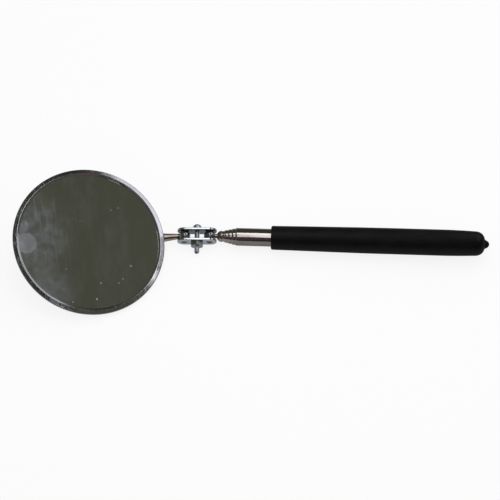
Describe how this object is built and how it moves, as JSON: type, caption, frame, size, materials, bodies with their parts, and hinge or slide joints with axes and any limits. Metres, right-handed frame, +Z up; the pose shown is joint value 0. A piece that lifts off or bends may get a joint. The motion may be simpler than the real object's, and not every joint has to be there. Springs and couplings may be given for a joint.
{
  "type": "telescoping inspection mirror",
  "caption": "Round metal-rimmed mirror on a double ball-joint clamp, carried by a telescoping tube handle with a dipped vinyl grip.",
  "frame": {"origin": "on the handle's axis, at the middle of the grip's straight stretch", "axes": "+Z up from the surface that the part lies on, +X level along the handle towards its tail; the handle's axis rises 2 degrees towards +X"},
  "size_m": [0.254, 0.0793, 0.0305],
  "materials": {
    "nickel_tube": "bright nickel plate on brass tube",
    "nickel_tip": "bright nickel plate, turned brass",
    "nickel_arm": "nickel-plated steel, bright",
    "vinyl": "black dipped vinyl, low sheen",
    "aluminium_plug": "turned aluminium",
    "steel_stud": "plated steel pin",
    "steel_ball": "polished steel ball",
    "zinc_plate": "zinc-plated steel plate",
    "zinc_screw": "zinc-plated steel screw",
    "zinc_nut": "zinc-plated steel nut",
    "steel_rivet": "plated steel rivet",
    "chrome_case": "bright plated pressed steel",
    "card_pad": "grey card",
    "silvering": "silvered and painted back",
    "mirror_glass": "clear float glass",
    "spring_brass": "bare spring brass"
  },
  "bodies": {
    "handle": {"outer_tube": "nickel_tube", "grip": "vinyl", "rear_plug": "aluminium_plug"},
    "slider_2": {"friction_sleeve_2": "spring_brass"},
    "section_2": {"tube_2": "nickel_tube"},
    "slider_3": {"friction_sleeve_3": "spring_brass"},
    "section_3": {"tube_3": "nickel_tube"},
    "slider_4": {"friction_sleeve_4": "spring_brass"},
    "section_4": {"tube_4": "nickel_tube"},
    "slider_5": {"friction_sleeve_5": "spring_brass"},
    "section_5": {"tube_5": "nickel_tube", "tip_ferrule": "nickel_tip", "handle_ball_stud": "steel_stud"},
    "handle_ball": {"handle_ball": "steel_ball"},
    "clamp": {"clamp_plate_head": "zinc_plate", "clamp_plate_nut": "zinc_plate", "clamp_screw": "zinc_screw", "clamp_nut": "zinc_nut"},
    "mirror_ball": {"mirror_ball": "steel_ball"},
    "mirror_pin": {"mirror_ball_pin": "steel_stud"},
    "mirror_head": {"mirror_arm": "nickel_arm", "arm_rivet_1": "steel_rivet", "arm_rivet_2": "steel_rivet", "mirror_case": "chrome_case", "backing_pad": "card_pad", "mirror_silvering": "silvering", "mirror_glass": "mirror_glass"}
  },
  "joints": [
    {"name": "section_2_slide", "type": "slide", "parent": "handle", "child": "slider_2", "axis": [-0.9995, 0, -0.0332], "range_m": [0, 0.1148]},
    {"name": "section_2_spin", "type": "hinge", "parent": "slider_2", "child": "section_2", "pos_m": [0.02112, 0, 0.0007], "axis": [0.9995, 0, 0.0332], "continuous": true},
    {"name": "section_3_slide", "type": "slide", "parent": "section_2", "child": "slider_3", "axis": [-0.9995, 0, -0.0332], "range_m": [0, 0.10947]},
    {"name": "section_3_spin", "type": "hinge", "parent": "slider_3", "child": "section_3", "pos_m": [0.01382, 0, 0.00046], "axis": [0.9995, 0, 0.0332], "continuous": true},
    {"name": "section_4_slide", "type": "slide", "parent": "section_3", "child": "slider_4", "axis": [-0.9995, 0, -0.0332], "range_m": [0, 0.10414]},
    {"name": "section_4_spin", "type": "hinge", "parent": "slider_4", "child": "section_4", "pos_m": [0.00653, 0, 0.00022], "axis": [0.9995, 0, 0.0332], "continuous": true},
    {"name": "section_5_slide", "type": "slide", "parent": "section_4", "child": "slider_5", "axis": [-0.9995, 0, -0.0332], "range_m": [0, 0.09881]},
    {"name": "section_5_spin", "type": "hinge", "parent": "slider_5", "child": "section_5", "pos_m": [-0.00077, 0, -0.00003], "axis": [0.9995, 0, 0.0332], "continuous": true},
    {"name": "handle_ball_tilt", "type": "hinge", "parent": "section_5", "child": "handle_ball", "pos_m": [-0.11247, 0, -0.00373], "axis": [-0.0319, -0.2756, 0.9607], "range_deg": [-10.6, 7.4]},
    {"name": "handle_ball_swing", "type": "hinge", "parent": "handle_ball", "child": "clamp", "pos_m": [-0.11247, 0, -0.00373], "axis": [-0.037, 0.9609, 0.2745], "range_deg": [-90, 90]},
    {"name": "mirror_ball_swing", "type": "hinge", "parent": "clamp", "child": "mirror_ball", "pos_m": [-0.12595, -0.00036, -0.00428], "axis": [0.037, -0.9609, -0.2745], "range_deg": [-75.7, 104.3]},
    {"name": "mirror_ball_tilt", "type": "hinge", "parent": "mirror_ball", "child": "mirror_pin", "pos_m": [-0.12595, -0.00036, -0.00428], "axis": [0.2158, -0.2605, 0.9411], "range_deg": [-21.4, 0.6]},
    {"name": "mirror_roll", "type": "hinge", "parent": "mirror_pin", "child": "mirror_head", "pos_m": [-0.12595, -0.00036, -0.00428], "axis": [0.953, 0.266, -0.1449], "continuous": true}
  ]
}
